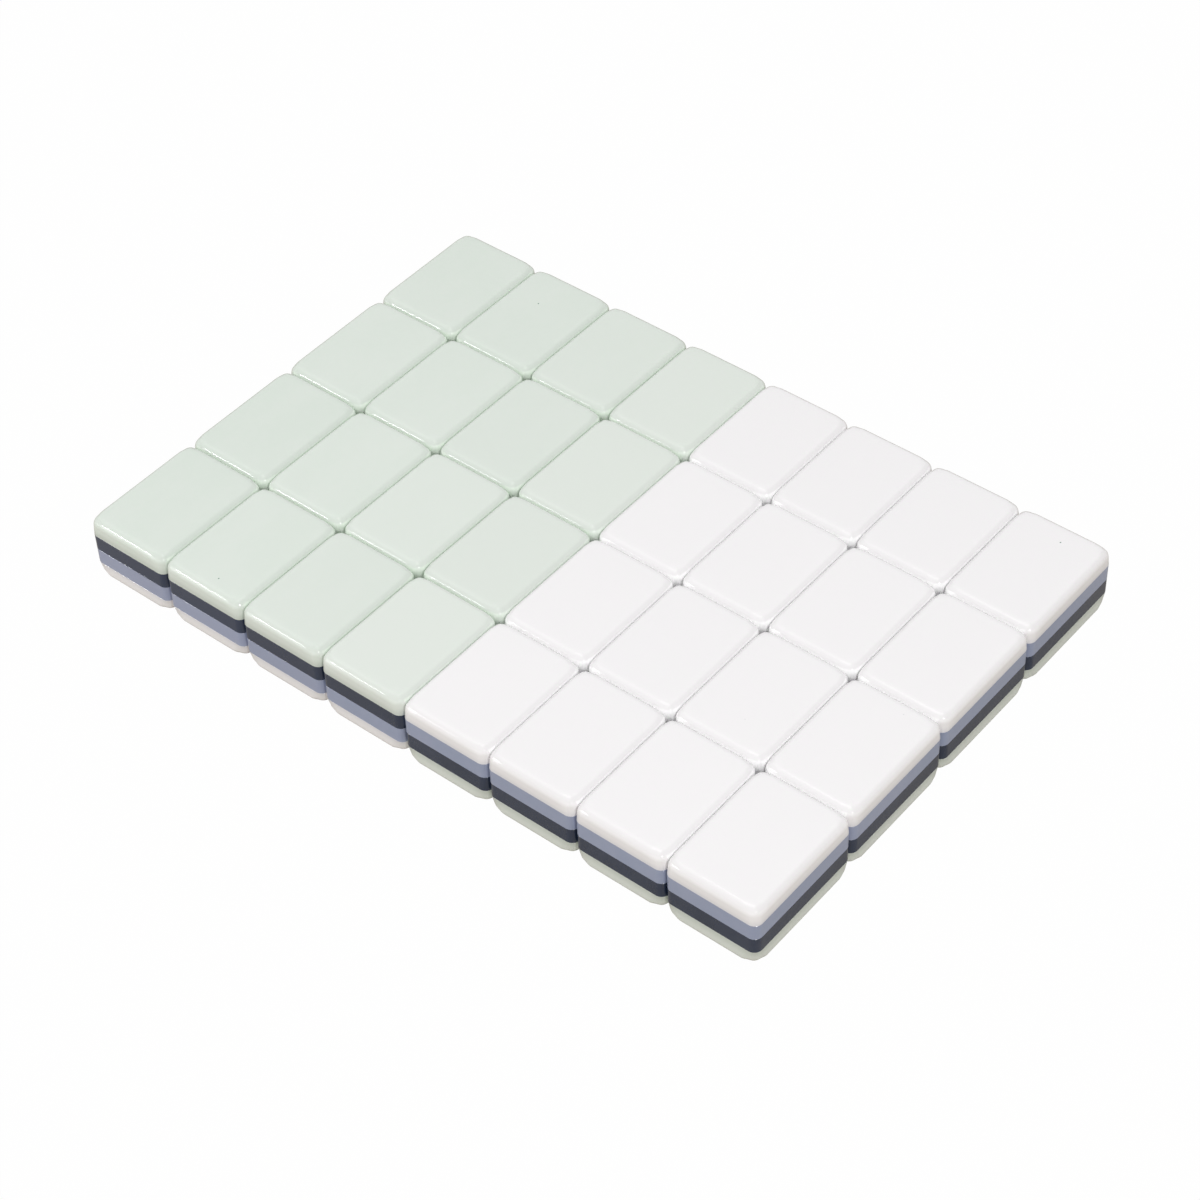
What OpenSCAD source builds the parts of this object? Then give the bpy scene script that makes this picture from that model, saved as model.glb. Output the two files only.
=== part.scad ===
// Block of blank four-layer game tiles: eight columns and four rows, pushed together face to face.
// Every tile is a stack of four bonded sheets: green back, navy core, lavender core, white face.
// The origin is on the ground under the middle of the block, +X along the eight columns, +Y along the
// four rows, +Z up. Columns count from the left and rows count from the front.

/* [Tile] */
// Width of one tile, along the eight columns
tile_w = 28.8; // [20:0.1:36]
// Length of one tile, along the four rows
tile_l = 40; // [28:0.5:54]
// Radius of the four upright corners of a tile
corner_r = 3.3; // [2.8:0.1:6]
// Radius of the rolled edge round the top and the bottom of a tile
edge_r = 2.4; // [0.8:0.1:2.6]

/* [Sheets] */
// Thickness of the pale green back sheet
green_t = 5.9; // [3:0.1:10]
// Thickness of the dark navy core sheet
navy_t = 5.1; // [1:0.1:10]
// Thickness of the lavender core sheet
lavender_t = 5.1; // [1:0.1:10]
// Thickness of the white face sheet
white_t = 5.3; // [3:0.1:10]

/* [Block] */
// Running gap between neighbouring tiles
gap = 0.1; // [0.05:0.05:1]
// How many columns, from the left, lie with the green back up
green_up_columns = 4; // [0:1:8]

/* [Hidden] */
$fn = 48;
columns = 8;
rows = 4;
tile_t = green_t + navy_t + lavender_t + white_t;
pitch_x = tile_w + gap;
pitch_y = tile_l + gap;

FRONT_TILES = [for (column = [1:columns]) str("front_tile_", column)];
SIDE_TILES = [for (row = [2:rows]) str("side_tile_", row)];
INNER_ROWS = [for (row = [2:rows]) str("inner_row_", row)];
SHEETS = ["green_back", "navy_core", "lavender_core", "white_face"];

// The quarter round of a rolled edge, its centre at the origin
module edge_round() {
    intersection() {
        circle(r = edge_r);
        square(edge_r);
    }
}

// A bar's cross-section: flat below, with a rolled edge at each end of its top
module bar_section(width, thickness) {
    translate([-width / 2, 0]) square([width, thickness - edge_r]);
    translate([edge_r - width / 2, 0]) square([width - 2 * edge_r, thickness]);
    for (side = [0, 1]) mirror([side, 0])
        translate([width / 2 - edge_r, thickness - edge_r]) edge_round();
}

// The cross-section of one corner, to be turned about the corner's own upright axis
module corner_section(thickness) {
    square([corner_r, thickness - edge_r]);
    square([corner_r - edge_r, thickness]);
    translate([corner_r - edge_r, thickness - edge_r]) edge_round();
}

// An outer sheet of a tile: round upright corners and a rolled top edge
module rolled_sheet(thickness) {
    bar_x = tile_w - 2 * corner_r;
    bar_y = tile_l - 2 * corner_r;
    translate([0, bar_y / 2, 0]) rotate([90, 0, 0]) linear_extrude(bar_y) bar_section(tile_w, thickness);
    translate([-bar_x / 2, 0, 0]) rotate([90, 0, 90]) linear_extrude(bar_x) bar_section(tile_l, thickness);
    for (turn = [0:3]) {
        side_x = (turn == 0 || turn == 3) ? 1 : -1;
        side_y = turn < 2 ? 1 : -1;
        translate([side_x * bar_x / 2, side_y * bar_y / 2, 0])
            rotate([0, 0, 90 * turn]) rotate_extrude(angle = 90) corner_section(thickness);
    }
}

// A core sheet of a tile: the same outline with plain upright walls
module plain_sheet(thickness) {
    linear_extrude(thickness) {
        square([tile_w - 2 * corner_r, tile_l], center = true);
        square([tile_w, tile_l - 2 * corner_r], center = true);
        for (side_x = [-1, 1], side_y = [-1, 1])
            translate([side_x * (tile_w / 2 - corner_r), side_y * (tile_l / 2 - corner_r)])
                circle(r = corner_r);
    }
}

// The four sheets of one tile that lies on its green back, its middle over the origin
module green_back() {
    color("#d9e3db") translate([0, 0, green_t]) mirror([0, 0, 1]) rolled_sheet(green_t);
}

module navy_core() {
    color("#4a4f5c") translate([0, 0, green_t]) plain_sheet(navy_t);
}

module lavender_core() {
    color("#9396a8") translate([0, 0, green_t + navy_t]) plain_sheet(lavender_t);
}

module white_face() {
    color("#f5f3f4") translate([0, 0, green_t + navy_t + lavender_t]) rolled_sheet(white_t);
}

module sheet_of_tile(sheet) {
    if (sheet == "green_back") green_back();
    if (sheet == "navy_core") navy_core();
    if (sheet == "lavender_core") lavender_core();
    if (sheet == "white_face") white_face();
}

// Puts a tile at its column and row; the green-up columns are turned over about their long axis
module at_place(column, row) {
    x = (column - (columns + 1) / 2) * pitch_x;
    y = (row - (rows + 1) / 2) * pitch_y;
    if (column <= green_up_columns)
        translate([x, y, tile_t]) rotate([0, 180, 0]) children();
    else
        translate([x, y, 0]) children();
}

// One loose tile's sheet in the front row
module front_tile(column, sheet) {
    at_place(column, 1) sheet_of_tile(sheet);
}

// One loose tile's sheet in the last column, behind the front row
module side_tile(row, sheet) {
    at_place(columns, row) sheet_of_tile(sheet);
}

// The same sheet of all seven tiles of an inner row, which are lifted together
module inner_row(row, sheet) {
    for (column = [1:columns - 1]) at_place(column, row) sheet_of_tile(sheet);
}

for (column = [1:columns], sheet = SHEETS)
    front_tile(column, sheet);
for (row = [2:rows], sheet = SHEETS)
    side_tile(row, sheet);
for (row = [2:rows], sheet = SHEETS)
    inner_row(row, sheet);
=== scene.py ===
"""Looks of a block of blank four-layer game tiles: polished, slightly cloudy resin on a white table."""
import math

import bpy
from mathutils import Matrix, Vector


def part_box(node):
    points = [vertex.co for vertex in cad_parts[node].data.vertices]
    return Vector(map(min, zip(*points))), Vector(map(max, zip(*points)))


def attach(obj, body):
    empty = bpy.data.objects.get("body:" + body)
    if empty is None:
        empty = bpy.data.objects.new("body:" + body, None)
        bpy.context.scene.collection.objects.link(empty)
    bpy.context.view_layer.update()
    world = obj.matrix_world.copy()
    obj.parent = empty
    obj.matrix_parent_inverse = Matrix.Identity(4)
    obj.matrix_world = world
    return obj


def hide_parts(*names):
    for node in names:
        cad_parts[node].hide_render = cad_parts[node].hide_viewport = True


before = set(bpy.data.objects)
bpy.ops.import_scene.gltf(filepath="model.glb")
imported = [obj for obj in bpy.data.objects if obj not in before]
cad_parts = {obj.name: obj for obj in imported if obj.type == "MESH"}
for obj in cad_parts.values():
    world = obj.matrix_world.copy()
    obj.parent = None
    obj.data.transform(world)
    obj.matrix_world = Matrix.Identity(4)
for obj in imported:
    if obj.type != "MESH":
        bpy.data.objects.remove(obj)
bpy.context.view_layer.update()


def sheet_thickness(sheet):
    """The thickness of one sheet of the first front tile, which all tiles share."""
    low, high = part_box(f"front_tile_1_{sheet}")
    return high.z - low.z


# The block has eight columns from the left and four rows from the front. The green-up columns are the
# first ones. The sheets are named from below, as they lie in a tile that rests on its green back.
COLUMNS = 8
ROWS = 4
GREEN_UP_COLUMNS = 4
SHEETS = ("green_back", "navy_core", "lavender_core", "white_face")
OUTER_SHEETS = ("green_back", "white_face")
SLOTS = {"green_back": "green_resin", "navy_core": "navy_resin",
         "lavender_core": "lavender_resin", "white_face": "white_resin"}

# Sizes from the frame, in metres. Each side of a tile stands proud by the swell, which narrows the seams.
SWELL = 0.000045
FIRST_LOW, FIRST_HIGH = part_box("front_tile_1_green_back")
TILE_W = FIRST_HIGH.x - FIRST_LOW.x + 2 * SWELL
TILE_L = FIRST_HIGH.y - FIRST_LOW.y + 2 * SWELL
PITCH_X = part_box("front_tile_2_green_back")[0].x - FIRST_LOW.x
PITCH_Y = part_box("side_tile_3_green_back")[0].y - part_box("side_tile_2_green_back")[0].y
THICKNESS = {sheet: sheet_thickness(sheet) for sheet in SHEETS}
TILE_T = sum(THICKNESS.values())

# A polished tile, in metres: its upright corners, its rolled outer edges and the hairline at each bond.
# The corner radius is never smaller than the edge radius, because the roll would fold over itself there.
CORNER_R = 0.0025
CORNER_SEGMENTS = 14
EDGE_R = 0.0024
EDGE_SEGMENTS = 12
BOND_NICK = 0.00004
SMOOTH_ANGLE = math.radians(40)

# The crown of an outer face: how far in each step goes and how much it rises, in metres
CROWN_STEPS = ((0.0008, 0.000022), (0.0014, 0.000014), (0.0022, 0.000006))

# What tells a flat outer face from the others: how level it is, and how large, in square metres
LEVEL_NORMAL = 0.999
LARGE_AREA = TILE_W * TILE_W / 4

# Worn corners, in metres: cuts near each side, which let the corner bend, the depth of the spot that is
# pushed in and the grip round it, the reach of what follows, and the push at the top and the bottom
TUMBLE_CUTS = (0.0032, 0.0040, 0.0048, 0.0056, 0.0064)
TUMBLE_DEPTH = 0.0011
TUMBLE_GRIP = 0.0010
TUMBLE_REACH = 0.0032
TOP_WEAR = 0.00022
BOTTOM_WEAR = 0.00045


# Selecting

def deselect_all():
    bpy.ops.object.select_all(action="DESELECT")


def select_alone(piece):
    """Selects one piece and nothing else, and makes it the active one."""
    deselect_all()
    piece.select_set(True)
    bpy.context.view_layer.objects.active = piece


def clear_selection(piece, kind):
    """Deselects the whole mesh of a piece, where kind is VERT, EDGE or FACE, and leaves edit mode."""
    select_alone(piece)
    bpy.ops.object.mode_set(mode="EDIT")
    bpy.ops.mesh.select_mode(type=kind)
    bpy.ops.mesh.select_all(action="DESELECT")
    bpy.ops.object.mode_set(mode="OBJECT")


def select_vertices(piece, wanted):
    """Selects the vertices whose place passes the test, and enters edit mode."""
    clear_selection(piece, "VERT")
    for vertex in piece.data.vertices:
        vertex.select = wanted(vertex.co)
    bpy.ops.object.mode_set(mode="EDIT")


def select_edges(piece, wanted):
    """Selects the edges whose two ends pass the test together, and enters edit mode."""
    clear_selection(piece, "EDGE")
    for edge in piece.data.edges:
        ends = [piece.data.vertices[index].co for index in edge.vertices]
        edge.select = wanted(*ends)
    bpy.ops.object.mode_set(mode="EDIT")


def select_edges_at(piece, height):
    """Selects the edges that lie at one height, and enters edit mode."""
    select_edges(piece, lambda a, b: abs(a.z - height) < BOND_NICK and abs(b.z - height) < BOND_NICK)


def select_faces(piece, wanted):
    """Selects the faces that pass the test, and enters edit mode."""
    clear_selection(piece, "FACE")
    for face in piece.data.polygons:
        face.select = wanted(face)
    bpy.ops.object.mode_set(mode="EDIT")


# Shaping the sheets of one tile, its middle over the origin

def sheet_blank(name, low_z, high_z):
    """A block of one sheet with round upright corners."""
    middle = (0, 0, (low_z + high_z) / 2)
    deselect_all()
    bpy.ops.mesh.primitive_cube_add(size=1, location=middle, scale=(TILE_W, TILE_L, high_z - low_z))
    bpy.ops.object.transform_apply(location=True, rotation=True, scale=True)
    blank = bpy.context.object
    blank.name = blank.data.name = name
    select_edges(blank, lambda a, b: abs(a.z - b.z) > EDGE_R)
    bpy.ops.mesh.bevel(offset=CORNER_R, segments=CORNER_SEGMENTS, affect="EDGES")
    bpy.ops.object.mode_set(mode="OBJECT")
    return blank


def nick_bond(piece, bond_z):
    """Breaks the sharp edge where a sheet meets its neighbour, which leaves a hairline round the tile."""
    select_edges_at(piece, bond_z)
    bpy.ops.mesh.bevel(offset=BOND_NICK, segments=1, affect="EDGES")
    bpy.ops.object.mode_set(mode="OBJECT")


def roll_outer_edge(piece, face_z, outward):
    """Rolls the edge of the outer face and crowns the face inside it; outward is 1 for up, -1 for down."""
    drop = sum(rise for _, rise in CROWN_STEPS)
    rim_z = face_z - outward * drop
    select_faces(piece, lambda face: face.normal.z * outward > LEVEL_NORMAL)
    bpy.ops.transform.translate(value=(0, 0, -outward * drop))
    bpy.ops.object.mode_set(mode="OBJECT")
    select_edges_at(piece, rim_z)
    bpy.ops.mesh.bevel(offset=EDGE_R, segments=EDGE_SEGMENTS, affect="EDGES")
    bpy.ops.object.mode_set(mode="OBJECT")
    select_faces(piece, lambda face: face.normal.z * outward > LEVEL_NORMAL and face.area > LARGE_AREA)
    flat_w = TILE_W - 2 * EDGE_R
    flat_l = TILE_L - 2 * EDGE_R
    for width, rise in CROWN_STEPS:
        bpy.ops.mesh.inset(thickness=0)
        bpy.ops.transform.resize(value=(1 - 2 * width / flat_w, 1 - 2 * width / flat_l, 1),
                                 center_override=(0, 0, rim_z))
        bpy.ops.transform.translate(value=(0, 0, outward * rise))
        flat_w -= 2 * width
        flat_l -= 2 * width
    bpy.ops.object.mode_set(mode="OBJECT")


def cut_across(piece, axis, offset):
    """Cuts the whole piece by a plane across X (axis 0) or Y (axis 1), and keeps both sides."""
    select_faces(piece, lambda face: True)
    place = [0, 0, 0]
    normal = [0, 0, 0]
    place[axis] = offset
    normal[axis] = 1
    bpy.ops.mesh.bisect(plane_co=place, plane_no=normal, use_fill=False)
    bpy.ops.object.mode_set(mode="OBJECT")


def tumble_corners(piece, face_z, outward, wear):
    """Wears the four corners of the outer face rounder than its edges, as tumbling does."""
    half_w = TILE_W / 2
    half_l = TILE_L / 2
    for axis, half in ((0, half_w), (1, half_l)):
        for cut in TUMBLE_CUTS:
            for side in (-1, 1):
                cut_across(piece, axis, side * (half - cut))
    for side_x in (-1, 1):
        for side_y in (-1, 1):
            corner = Vector((side_x * (half_w - TUMBLE_DEPTH), side_y * (half_l - TUMBLE_DEPTH),
                             face_z - outward * TUMBLE_DEPTH))
            select_vertices(piece, lambda place: (place - corner).length < TUMBLE_GRIP)
            bpy.ops.transform.translate(
                value=(-side_x * wear, -side_y * wear, -outward * wear), use_proportional_edit=True,
                proportional_edit_falloff="SMOOTH", proportional_size=TUMBLE_REACH)
            bpy.ops.object.mode_set(mode="OBJECT")


def model_sheets(green_wear, white_wear):
    """The four sheets of one tile that rests on its green back, with the wear of its two outer faces."""
    green_top = THICKNESS["green_back"]
    navy_top = green_top + THICKNESS["navy_core"]
    lavender_top = navy_top + THICKNESS["lavender_core"]
    green = sheet_blank("green_master", 0, green_top)
    roll_outer_edge(green, 0, -1)
    tumble_corners(green, 0, -1, green_wear)
    nick_bond(green, green_top)
    navy = sheet_blank("navy_master", green_top, navy_top)
    nick_bond(navy, green_top)
    nick_bond(navy, navy_top)
    lavender = sheet_blank("lavender_master", navy_top, lavender_top)
    nick_bond(lavender, navy_top)
    nick_bond(lavender, lavender_top)
    white = sheet_blank("white_master", lavender_top, TILE_T)
    roll_outer_edge(white, TILE_T, 1)
    tumble_corners(white, TILE_T, 1, white_wear)
    nick_bond(white, lavender_top)
    masters = dict(zip(SHEETS, (green, navy, lavender, white)))
    for master in masters.values():
        select_alone(master)
        bpy.ops.object.shade_smooth_by_angle(angle=SMOOTH_ANGLE)
    return masters


# Laying the block

def tile_place(column, row):
    """The move of a tile from the origin to its place, turned over about Y in the green-up columns."""
    x = (column - (COLUMNS + 1) / 2) * PITCH_X
    y = (row - (ROWS + 1) / 2) * PITCH_Y
    if column <= GREEN_UP_COLUMNS:
        return Matrix.Translation((x, y, TILE_T)) @ Matrix.Rotation(math.pi, 4, "Y")
    return Matrix.Translation((x, y, 0))


def lay_sheets(green_up, white_up, body, places):
    """Copies the sheets of one body to their tiles' places; one piece stands for each node."""
    for sheet in SHEETS:
        copies = []
        for column, row in places:
            master = (green_up if column <= GREEN_UP_COLUMNS else white_up)[sheet]
            copy = master.copy()
            copy.data = master.data.copy()
            copy.data.transform(tile_place(column, row))
            bpy.context.scene.collection.objects.link(copy)
            copies.append(copy)
        piece = copies[0]
        select_alone(piece)
        for copy in copies[1:]:
            copy.select_set(True)
        if len(copies) > 1:
            bpy.ops.object.join()
        piece.name = piece.data.name = f"polished_{body}_{sheet}"
        piece.data.materials.clear()
        piece.data.materials.append(RESINS[sheet])
        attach(piece, body)
        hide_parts(f"{body}_{sheet}")


def dress_block():
    """All 56 pieces: front tiles and side tiles by themselves, and the seven tiles of each inner row."""
    green_up = model_sheets(TOP_WEAR, BOTTOM_WEAR)
    white_up = model_sheets(BOTTOM_WEAR, TOP_WEAR)
    for column in range(1, COLUMNS + 1):
        lay_sheets(green_up, white_up, f"front_tile_{column}", [(column, 1)])
    for row in range(2, ROWS + 1):
        inner_places = [(column, row) for column in range(1, COLUMNS)]
        lay_sheets(green_up, white_up, f"side_tile_{row}", [(COLUMNS, row)])
        lay_sheets(green_up, white_up, f"inner_row_{row}", inner_places)
    for master in [*green_up.values(), *white_up.values()]:
        bpy.data.objects.remove(master)


# Node tools

def new_group(name, inputs, outputs):
    """An empty shader node group; its inputs and outputs are pairs of a name and a kind of socket."""
    group = bpy.data.node_groups.new(name, "ShaderNodeTree")
    for direction, sockets in (("INPUT", inputs), ("OUTPUT", outputs)):
        for socket, kind in sockets:
            group.interface.new_socket(name=socket, in_out=direction, socket_type=f"NodeSocket{kind}")
    start = group.nodes.new("NodeGroupInput")
    end = group.nodes.new("NodeGroupOutput")
    return group, start.outputs, end.inputs


def add(tree, kind, sockets, **properties):
    """A node with its properties and, by socket name or number, its values or links."""
    node = tree.nodes.new(f"ShaderNode{kind}")
    for key, value in properties.items():
        setattr(node, key, value)
    for key, value in sockets.items():
        if isinstance(value, bpy.types.NodeSocket):
            tree.links.new(value, node.inputs[key])
        else:
            node.inputs[key].default_value = value
    return node


def maths(tree, operation, first, second=0.0, clamp=False):
    return add(tree, "Math", {0: first, 1: second}, operation=operation, use_clamp=clamp).outputs[0]


def plus(tree, first, second):
    return maths(tree, "ADD", first, second)


def minus(tree, first, second):
    return maths(tree, "SUBTRACT", first, second)


def times(tree, first, second):
    return maths(tree, "MULTIPLY", first, second)


def largest(tree, values):
    """The largest of several values."""
    found = values[0]
    for value in values[1:]:
        found = maths(tree, "MAXIMUM", found, value)
    return found


def within(tree, value, limit):
    """1 where a value lies between minus the limit and the limit, otherwise 0."""
    return maths(tree, "LESS_THAN", maths(tree, "ABSOLUTE", value), limit)


def ramp(tree, value, low, high):
    """0 below low, 1 above high, smooth between."""
    sockets = {"Value": value, "From Min": low, "From Max": high}
    return add(tree, "MapRange", sockets, interpolation_type="SMOOTHSTEP").outputs["Result"]


def fade(tree, value, low, high):
    """1 below low, 0 above high, smooth between."""
    return minus(tree, 1.0, ramp(tree, value, low, high))


def mix_colour(tree, factor, first, second):
    """Two colours mixed; a Mix node has its colours at sockets 6 and 7 and their mix at output 2."""
    return add(tree, "Mix", {0: factor, 6: first, 7: second}, data_type="RGBA").outputs[2]


def noise(tree, place, density, detail, roughness=0.5):
    """Cloudy noise round 0.5; the density is in patches to the metre."""
    sockets = {"Vector": place, "Scale": density, "Detail": detail, "Roughness": roughness}
    return add(tree, "TexNoise", sockets).outputs[0]


def block_place(tree):
    """The place of a point in the block, in metres."""
    return add(tree, "TexCoord", {}).outputs["Object"]


def block_axes(tree):
    """The same place as three separate numbers."""
    return add(tree, "SeparateXYZ", {0: block_place(tree)}).outputs


def from_half_height(tree, height):
    """How far a height lies above or below the middle of a tile."""
    return maths(tree, "ABSOLUTE", minus(tree, height, TILE_T / 2))


# Effects that the resins share

# Picks the set of random tones that the tiles have
TONE_SEED = 0.5


def tile_tone_group():
    """A random tone for every tile, its column as a share of the block, and how far a point lies in from
    the tile's outline and from its upright corners."""
    group, _, end = new_group(
        "tile_tone", [],
        [("Tone", "Float"), ("Across", "Float"), ("From Outline", "Float"), ("From Corner", "Float")])
    axes = block_axes(group)
    counts = []
    insets = []
    for axis, pitch, size in ((0, PITCH_X, TILE_W), (1, PITCH_Y, TILE_L)):
        turns = maths(group, "DIVIDE", axes[axis], pitch)
        count = maths(group, "FLOOR", turns)
        share = minus(group, turns, count)
        from_middle = maths(group, "ABSOLUTE", minus(group, share, 0.5))
        insets.append(minus(group, size / 2, times(group, from_middle, pitch)))
        counts.append(count)
    cell = add(group, "CombineXYZ", {0: counts[0], 1: counts[1], 2: TONE_SEED})
    tone = add(group, "TexWhiteNoise", {"Vector": cell.outputs[0]}, noise_dimensions="3D")
    across = plus(group, maths(group, "DIVIDE", counts[0], COLUMNS - 1.0), 0.5)
    group.links.new(tone.outputs["Value"], end["Tone"])
    group.links.new(across, end["Across"])
    group.links.new(maths(group, "MINIMUM", *insets), end["From Outline"])
    group.links.new(maths(group, "MAXIMUM", *insets), end["From Corner"])
    return group


# Casting clouds: their size in metres, how they are drawn out along the tiles, from where to where in
# the noise they fade in, how many times finer the small ones are, and the share of the small ones
CLOUD_SIZE = 0.012
CLOUD_STRETCH = (1.0, 0.45, 1.0)
CLOUD_FADE = (0.35, 0.7)
FINE_CLOUD_TIMES = 7.0
FINE_CLOUD_FADE = (0.4, 0.75)
FINE_CLOUD_SHARE = 0.35


def cloud_group():
    """Soft clouds in cast resin, drawn out along the tiles, with finer ones between them."""
    group, start, end = new_group(
        "cast_clouds",
        [("Colour", "Color"), ("Cloud Colour", "Color"), ("Cloud Size", "Float"), ("Strength", "Float")],
        [("Colour", "Color")])
    place = block_place(group)
    density = maths(group, "DIVIDE", 1.0, start["Cloud Size"])
    fine_density = times(group, density, FINE_CLOUD_TIMES)
    stretched = add(group, "Mapping", {"Vector": place, "Scale": CLOUD_STRETCH}).outputs[0]
    clouds = ramp(group, noise(group, stretched, density, detail=4.0, roughness=0.55), *CLOUD_FADE)
    fine = ramp(group, noise(group, place, fine_density, detail=2.0), *FINE_CLOUD_FADE)
    mask = plus(group, clouds, times(group, fine, FINE_CLOUD_SHARE))
    factor = maths(group, "MULTIPLY", mask, start["Strength"], clamp=True)
    group.links.new(mix_colour(group, factor, start["Colour"], start["Cloud Colour"]), end["Colour"])
    return group


# Handling marks: the turn and the density of three sets of hairlines, their stretch, and from where to
# where in the noise they fade in; then smears, orange peel, and the rim, which fades out between two
# distances from the outline, in metres
SCRATCH_SETS = ((0.35, 420.0), (1.25, 510.0), (2.3, 460.0))
SCRATCH_STRETCH = (0.06, 1.0, 0.6)
SCRATCH_FADE = (0.66, 0.72)
SMEAR_DENSITY = 55.0
SMEAR_FADE = (0.4, 0.7)
PEEL_DENSITY = 160.0
RIM_FADE = (0.0004, 0.003)

# How much each of them dulls the polish, as a share of the wear, and its height or depth in the bump
SCRATCH_DULLING = 0.7
RIM_DULLING = 0.35
SMEAR_DULLING = 0.3
PEEL_HEIGHT = 0.6
SCRATCH_DEPTH = 0.12


def polish_group():
    """Hairline handling marks, faint orange peel and duller rims, for roughness and bump height."""
    group, start, end = new_group(
        "polish",
        [("From Outline", "Float"), ("Polished Roughness", "Float"), ("Wear", "Float")],
        [("Roughness", "Float"), ("Height", "Float")])
    place = block_place(group)
    hairs = []
    for turn, density in SCRATCH_SETS:
        sockets = {"Vector": place, "Rotation": (0.0, 0.0, turn), "Scale": SCRATCH_STRETCH}
        turned = add(group, "Mapping", sockets).outputs[0]
        hairs.append(ramp(group, noise(group, turned, density, detail=1.0, roughness=0.4), *SCRATCH_FADE))
    scratches = largest(group, hairs)
    rim = fade(group, start["From Outline"], *RIM_FADE)
    marks = plus(group, times(group, scratches, SCRATCH_DULLING), times(group, rim, RIM_DULLING))
    worn = times(group, marks, start["Wear"])
    smear = ramp(group, noise(group, place, SMEAR_DENSITY, detail=3.0), *SMEAR_FADE)
    smeared = times(group, times(group, smear, start["Wear"]), SMEAR_DULLING)
    peel = times(group, noise(group, place, PEEL_DENSITY, detail=1.0), PEEL_HEIGHT)
    roughness = plus(group, start["Polished Roughness"], plus(group, worn, smeared))
    group.links.new(roughness, end["Roughness"])
    group.links.new(minus(group, peel, times(group, scratches, SCRATCH_DEPTH)), end["Height"])
    return group


def bond_group():
    """How a pale outer sheet takes up its darker neighbour's colour close to the bond."""
    group, start, end = new_group(
        "bond_depth",
        [("Colour", "Color"), ("Depth Colour", "Color"), ("Reach", "Float"), ("Strength", "Float")],
        [("Colour", "Color")])
    core_half = (THICKNESS["navy_core"] + THICKNESS["lavender_core"]) / 2
    from_bond = minus(group, from_half_height(group, block_axes(group)[2]), core_half)
    near = fade(group, maths(group, "DIVIDE", from_bond, start["Reach"]), 0.0, 1.0)
    factor = maths(group, "MULTIPLY", near, start["Strength"], clamp=True)
    group.links.new(mix_colour(group, factor, start["Colour"], start["Depth Colour"]), end["Colour"])
    return group


# Depths below an outer face, in metres, between which the painted light on the seam walls starts and
# ends, and between which the painted shade on the rolled edge starts and ends; then how near an upright
# corner is, and the strength of that painted shade
SEAM_START = (EDGE_R * 0.4, EDGE_R * 0.65)
SEAM_END = (EDGE_R * 1.2, EDGE_R * 1.6)
EDGE_SHADE_START = (EDGE_R * 0.02, EDGE_R * 0.2)
EDGE_SHADE_END = (EDGE_R * 0.4, EDGE_R * 0.62)
NEAR_CORNER = (CORNER_R * 0.8, CORNER_R * 1.2)
EDGE_PAINTED_SHADE = 0.06
BLACK = (0, 0, 0, 1)


def painted_light_and_shade_group():
    """Painted light on the seam walls inside the block, and painted shade that makes the rolled edges a
    little darker.
    """
    group, start, end = new_group(
        "painted_seam_light_and_edge_shade",
        [("Colour", "Color"), ("Seam Painted Light", "Color"), ("From Corner", "Float")],
        [("Colour", "Color")])
    axes = block_axes(group)
    depth = minus(group, TILE_T / 2, from_half_height(group, axes[2]))
    inner_x = within(group, axes[0], COLUMNS / 2 * PITCH_X - EDGE_R)
    inner_y = within(group, axes[1], ROWS / 2 * PITCH_Y - EDGE_R)
    in_corner = fade(group, start["From Corner"], *NEAR_CORNER)
    reached = largest(group, [in_corner, fade(group, depth, *SEAM_END)])
    inside = times(group, times(group, inner_x, inner_y), reached)
    # Painted light on the seam walls inside the block
    seam_painted_light_mask = times(group, ramp(group, depth, *SEAM_START), inside)
    # Painted shade on the rolled edges
    edge_shade_mask = times(group, ramp(group, depth, *EDGE_SHADE_START), fade(group, depth, *EDGE_SHADE_END))
    edge_painted_shade_colour = mix_colour(group, times(group, edge_shade_mask, EDGE_PAINTED_SHADE), start["Colour"], BLACK)
    group.links.new(mix_colour(group, seam_painted_light_mask, edge_painted_shade_colour, start["Seam Painted Light"]), end["Colour"])
    return group


# The dark specks on the tops: their places and radius, in metres, and the share of the radius that is
# fully dark; then the faint ones: cells to the metre, size as a share of a cell, and strength
SPECKS = ((-0.0751, 0.0662, TILE_T), (-0.0697, -0.0754, TILE_T), (0.1030, 0.0733, TILE_T))
SPECK_R = 0.0003
SPECK_CORE_SHARE = 0.3
FAINT_SPECK_DENSITY = 38.0
FAINT_SPECK_FADE = (0.003, 0.009)
FAINT_SPECK_STRENGTH = 0.25


def speck_group():
    """The three dark pigment specks of the photograph, and very few faint ones elsewhere."""
    group, start, end = new_group(
        "pigment_specks", [("Colour", "Color"), ("Speck Colour", "Color")], [("Colour", "Color")])
    place = block_place(group)
    dots = []
    for spot in SPECKS:
        away = add(group, "VectorMath", {0: place, 1: spot}, operation="DISTANCE").outputs["Value"]
        dots.append(fade(group, away, SPECK_R * SPECK_CORE_SHARE, SPECK_R))
    cells = add(group, "TexVoronoi", {"Vector": place, "Scale": FAINT_SPECK_DENSITY, "Randomness": 1.0})
    faint = fade(group, cells.outputs["Distance"], *FAINT_SPECK_FADE)
    factor = largest(group, [*dots, times(group, faint, FAINT_SPECK_STRENGTH)])
    group.links.new(mix_colour(group, factor, start["Colour"], start["Speck Colour"]), end["Colour"])
    return group
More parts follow.
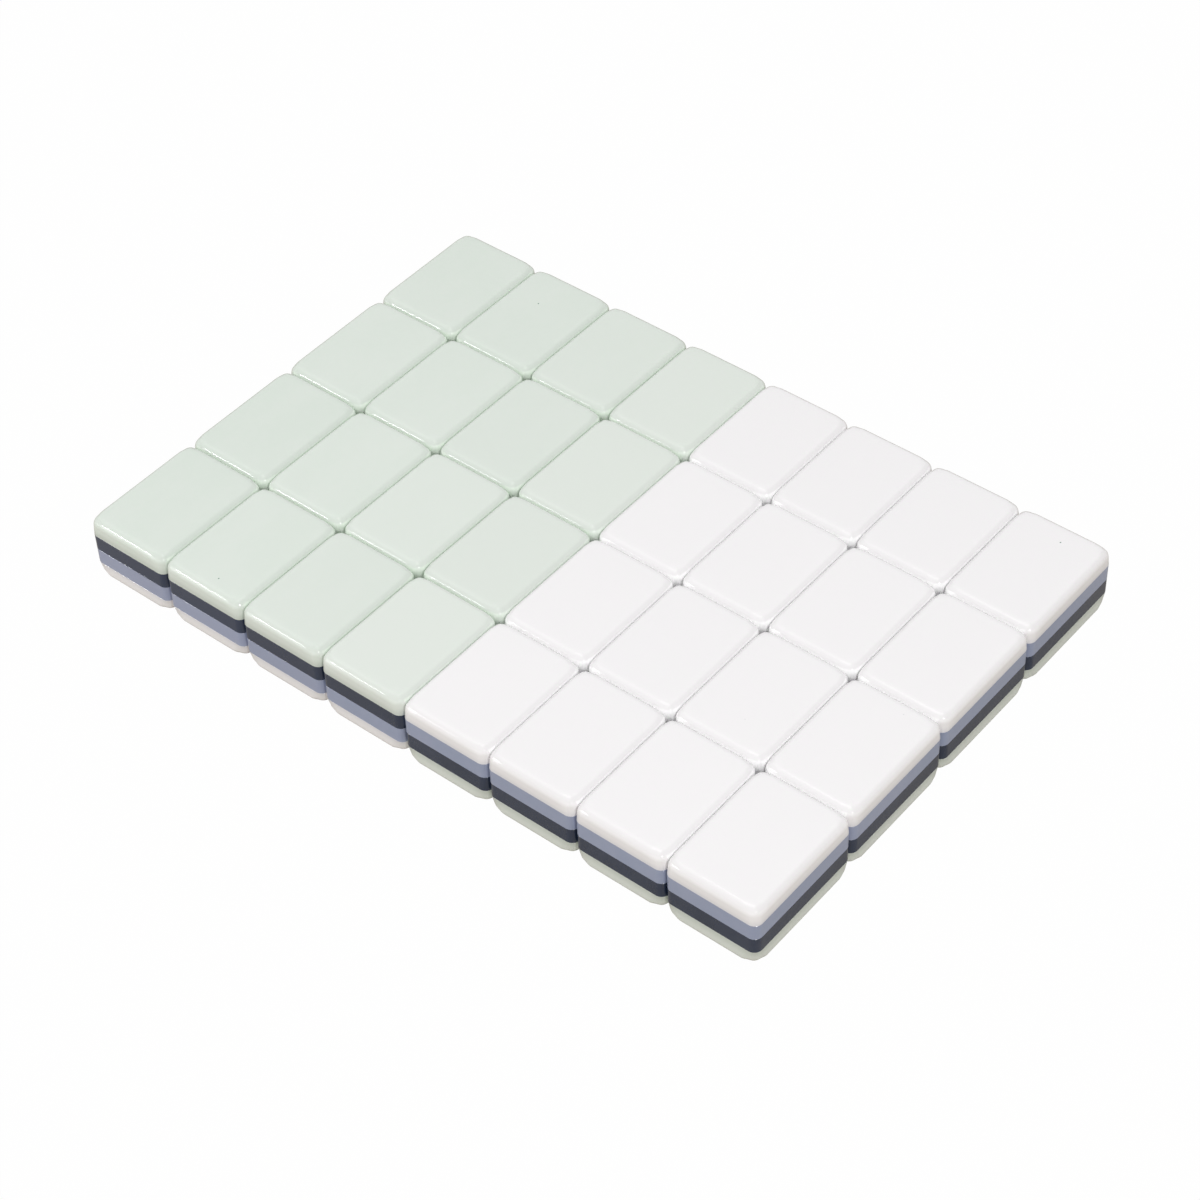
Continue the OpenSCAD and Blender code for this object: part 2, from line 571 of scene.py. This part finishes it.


# The four resins. Colours in linear light: in the first column, from the middle columns on, and in the
# clouds; the change from the first column's colour to the middle one is painted light and shade across
# the columns. The outer sheets also have the colour that shows near the bond and the painted light of the
# seam walls.
FIRST_COLOUR = {"green_back": (0.692, 0.758, 0.692, 1), "navy_core": (0.0275, 0.0415, 0.083, 1),
                "lavender_core": (0.330, 0.366, 0.505, 1), "white_face": (0.880, 0.865, 0.872, 1)}
MIDDLE_COLOUR = {"green_back": (0.740, 0.780, 0.731, 1), "navy_core": (0.0155, 0.026, 0.055, 1),
                 "lavender_core": (0.296, 0.340, 0.470, 1), "white_face": (0.880, 0.865, 0.872, 1)}
CLOUD_COLOUR = {"green_back": (0.730, 0.780, 0.725, 1), "navy_core": (0.028, 0.042, 0.079, 1),
                "lavender_core": (0.335, 0.368, 0.500, 1), "white_face": (0.890, 0.875, 0.880, 1)}
BOND_COLOUR = {"green_back": (0.470, 0.520, 0.460, 1), "white_face": (0.640, 0.640, 0.680, 1)}
# The seam colour is painted light on the seam walls inside the block.
SEAM_PAINTED_LIGHT = {"green_back": (0.800, 0.875, 0.790, 1), "white_face": (1.000, 0.995, 0.997, 1)}
SPECK_COLOUR = (0.05, 0.2, 0.12, 1)

# Strength of the clouds, spread of tone from tile to tile, roughness of the polish and share of light
# that travels through the resin
CLOUD_STRENGTH = {"green_back": 0.45, "navy_core": 0.5, "lavender_core": 0.55, "white_face": 0.25}
TONE_SPREAD = {"green_back": 0.010, "navy_core": 0.06, "lavender_core": 0.03, "white_face": 0.004}
ROUGHNESS = {"green_back": 0.05, "navy_core": 0.09, "lavender_core": 0.09, "white_face": 0.05}
SUBSURFACE = {"green_back": 0.18, "navy_core": 0.0, "lavender_core": 0.1, "white_face": 0.15}

# Common to all four: how far light travels in them, in metres, and the shares of that for red, green
# and blue, the refractive index, the wear of the polish, and the bump's strength and height in metres
SUBSURFACE_REACH = 0.0016
SUBSURFACE_RADIUS = (0.9, 1.0, 0.9)
RESIN_IOR = 1.56
POLISH_WEAR = 0.12
BUMP_STRENGTH = 0.12
BUMP_DISTANCE = 0.00002

# In the outer sheets: how far from the bond its colour shows, in metres, and how strongly
BOND_REACH = 0.0025
BOND_STRENGTH = 0.5

# Painted light and shade across the columns goes from the first colour to the middle one: the share of
# the block over which it does, and the shares of that painted light and shade and of the tile's own tone
PAINTED_LIGHT_END = 0.45
PAINTED_LIGHT_SHARE = 0.8
TONE_SHARE = 0.2


def resin(sheet):
    """Polished cast resin in one sheet's colour."""
    material = bpy.data.materials.new(SLOTS[sheet])
    material.use_nodes = True
    tree = material.node_tree
    shader = tree.nodes["Principled BSDF"]

    def placed(effect, sockets):
        return add(tree, "Group", sockets, node_tree=EFFECTS[effect]).outputs

    tone = placed("tone", {})
    # Painted light and shade across the columns, mixed with each tile's own random tone
    painted_light_and_tone = plus(tree, times(tree, ramp(tree, tone["Across"], 0.0, PAINTED_LIGHT_END), PAINTED_LIGHT_SHARE),
                 times(tree, tone["Tone"], TONE_SHARE))
    colour = mix_colour(tree, painted_light_and_tone, FIRST_COLOUR[sheet], MIDDLE_COLOUR[sheet])
    colour = placed("clouds", {"Colour": colour, "Cloud Colour": CLOUD_COLOUR[sheet],
                               "Cloud Size": CLOUD_SIZE, "Strength": CLOUD_STRENGTH[sheet]})["Colour"]
    level = add(tree, "MapRange", {"Value": tone["Tone"], "To Min": 1 - TONE_SPREAD[sheet],
                                   "To Max": 1 + TONE_SPREAD[sheet]}).outputs["Result"]
    colour = add(tree, "VectorMath", {0: colour, "Scale": level}, operation="SCALE").outputs["Vector"]
    if sheet in OUTER_SHEETS:
        colour = placed("bond", {"Colour": colour, "Depth Colour": BOND_COLOUR[sheet],
                                 "Reach": BOND_REACH, "Strength": BOND_STRENGTH})["Colour"]
        # Painted light on the seam walls and painted shade on the rolled edges
        colour = placed("seams", {"Colour": colour, "Seam Painted Light": SEAM_PAINTED_LIGHT[sheet],
                                  "From Corner": tone["From Corner"]})["Colour"]
        colour = placed("specks", {"Colour": colour, "Speck Colour": SPECK_COLOUR})["Colour"]
    polish = placed("polish", {"From Outline": tone["From Outline"],
                               "Polished Roughness": ROUGHNESS[sheet], "Wear": POLISH_WEAR})
    bump = add(tree, "Bump", {"Strength": BUMP_STRENGTH, "Distance": BUMP_DISTANCE,
                              "Height": polish["Height"]})
    tree.links.new(colour, shader.inputs["Base Color"])
    tree.links.new(polish["Roughness"], shader.inputs["Roughness"])
    tree.links.new(bump.outputs["Normal"], shader.inputs["Normal"])
    shader.inputs["IOR"].default_value = RESIN_IOR
    shader.inputs["Subsurface Weight"].default_value = SUBSURFACE[sheet]
    shader.inputs["Subsurface Radius"].default_value = SUBSURFACE_RADIUS
    shader.inputs["Subsurface Scale"].default_value = SUBSURFACE_REACH
    return material


EFFECTS = {"tone": tile_tone_group(), "clouds": cloud_group(), "polish": polish_group(),
           "bond": bond_group(), "seams": painted_light_and_shade_group(), "specks": speck_group()}
RESINS = {sheet: resin(sheet) for sheet in SHEETS}


# Camera: its direction from the block, roll, target and distance, fitted to the photograph
CAMERA_AZIMUTH = math.radians(40.727)
CAMERA_ELEVATION = math.radians(44.998)
CAMERA_ROLL = math.radians(-2.446)
CAMERA_TARGET = Vector((0.00366, -0.00307, 0.0))
CAMERA_DISTANCE = 0.8356
CAMERA_CLIP = 0.01
FOCAL_PIXELS = 3015.2
PICTURE_PIXELS = 1200
SENSOR_MM = 36.0


def make_camera():
    data = bpy.data.cameras.new("camera")
    data.sensor_width = SENSOR_MM
    data.lens = FOCAL_PIXELS / PICTURE_PIXELS * SENSOR_MM
    data.clip_start = CAMERA_CLIP
    camera = bpy.data.objects.new("camera", data)
    bpy.context.scene.collection.objects.link(camera)
    back = Vector((math.sin(CAMERA_AZIMUTH) * math.cos(CAMERA_ELEVATION),
                   -math.cos(CAMERA_AZIMUTH) * math.cos(CAMERA_ELEVATION),
                   math.sin(CAMERA_ELEVATION)))
    level_right = Vector((math.cos(CAMERA_AZIMUTH), math.sin(CAMERA_AZIMUTH), 0.0))
    level_up = back.cross(level_right)
    right = math.cos(CAMERA_ROLL) * level_right + math.sin(CAMERA_ROLL) * level_up
    up = back.cross(right)
    turn = Matrix((right, up, back)).transposed().to_4x4()
    camera.matrix_world = Matrix.Translation(CAMERA_TARGET + back * CAMERA_DISTANCE) @ turn
    bpy.context.scene.camera = camera


# Surroundings: the strength of the world's light, how much of the floor's own white the camera sees and
# a polished face mirrors, the colour in which the floor takes the shadow, and the floor's size and how
# far it lies below the block, in metres
WHITE = (1, 1, 1, 1)
WORLD_LEVEL = 0.734
FLOOR_SEEN = 0.99
FLOOR_MIRRORED = 0.05
FLOOR_MATTE = (0.47, 0.425, 0.365, 1)
FLOOR_SIZE = 6
FLOOR_DROP = 0.00005


def shown(tree, seen, mirrored):
    """How much of the plain white a ray meets: the camera's own rays, or those off a polished face."""
    path = add(tree, "LightPath", {}).outputs
    straight = maths(tree, "MAXIMUM", path["Is Camera Ray"], path["Is Transmission Ray"])
    glossy = times(tree, path["Is Glossy Ray"], mirrored)
    return maths(tree, "MAXIMUM", times(tree, straight, seen), glossy)


def make_world():
    world = bpy.data.worlds.new("studio")
    bpy.context.scene.world = world
    world.use_nodes = True
    tree = world.node_tree
    background = tree.nodes["Background"]
    strength = add(tree, "MapRange", {"Value": shown(tree, 1.0, 1.0), "To Min": WORLD_LEVEL, "To Max": 1.0})
    tree.links.new(strength.outputs["Result"], background.inputs["Strength"])
    background.inputs["Color"].default_value = WHITE


def make_floor():
    deselect_all()
    bpy.ops.mesh.primitive_plane_add(size=FLOOR_SIZE, location=(0, 0, -FLOOR_DROP))
    floor = bpy.context.object
    floor.name = "floor"
    paper = bpy.data.materials.new("white_paper")
    paper.use_nodes = True
    tree = paper.node_tree
    tree.nodes.remove(tree.nodes["Principled BSDF"])
    matte = add(tree, "BsdfDiffuse", {"Color": FLOOR_MATTE})
    glow = add(tree, "Emission", {"Color": WHITE, "Strength": 1.0})
    share = shown(tree, FLOOR_SEEN, FLOOR_MIRRORED)
    both = add(tree, "MixShader", {0: share, 1: matte.outputs[0], 2: glow.outputs[0]})
    tree.links.new(both.outputs[0], tree.nodes["Material Output"].inputs["Surface"])
    floor.data.materials.append(paper)


# Lamps: the place, the spot each shines at and its two sides, in metres, and its power in watts
LAMPS = {
    "left_strip": ((-0.959, -1.205, 0.63), (0, 0, 0.02), (0.46, 0.15), 1.95),
    "left_strip_core": ((-1.020, -1.153, 0.63), (0, 0, 0.02), (0.297, 0.15), 1.05),
    "right_lamp": ((0.93, -0.56, 0.74), (0, 0, 0), (0.17, 0.17), 3.7),
    "high_fill": ((0.02, -0.06, 0.72), (0, 0, 0), (0.4, 0.4), 0.57),
    "left_card": ((-0.30, -0.35, 0.10), (-0.08, -0.08, 0.01), (0.2, 0.16), 0.175),
}


def make_lamps():
    for name, (place, aim, sides, power) in LAMPS.items():
        data = bpy.data.lights.new(name, "AREA")
        data.shape = "RECTANGLE"
        data.size, data.size_y = sides
        data.energy = power
        lamp = bpy.data.objects.new(name, data)
        bpy.context.scene.collection.objects.link(lamp)
        lamp.location = place
        lamp.rotation_euler = (Vector(aim) - Vector(place)).to_track_quat("-Z", "Y").to_euler()


bpy.context.scene.view_settings.view_transform = "Standard"
make_camera()
make_world()
make_floor()
make_lamps()
dress_block()
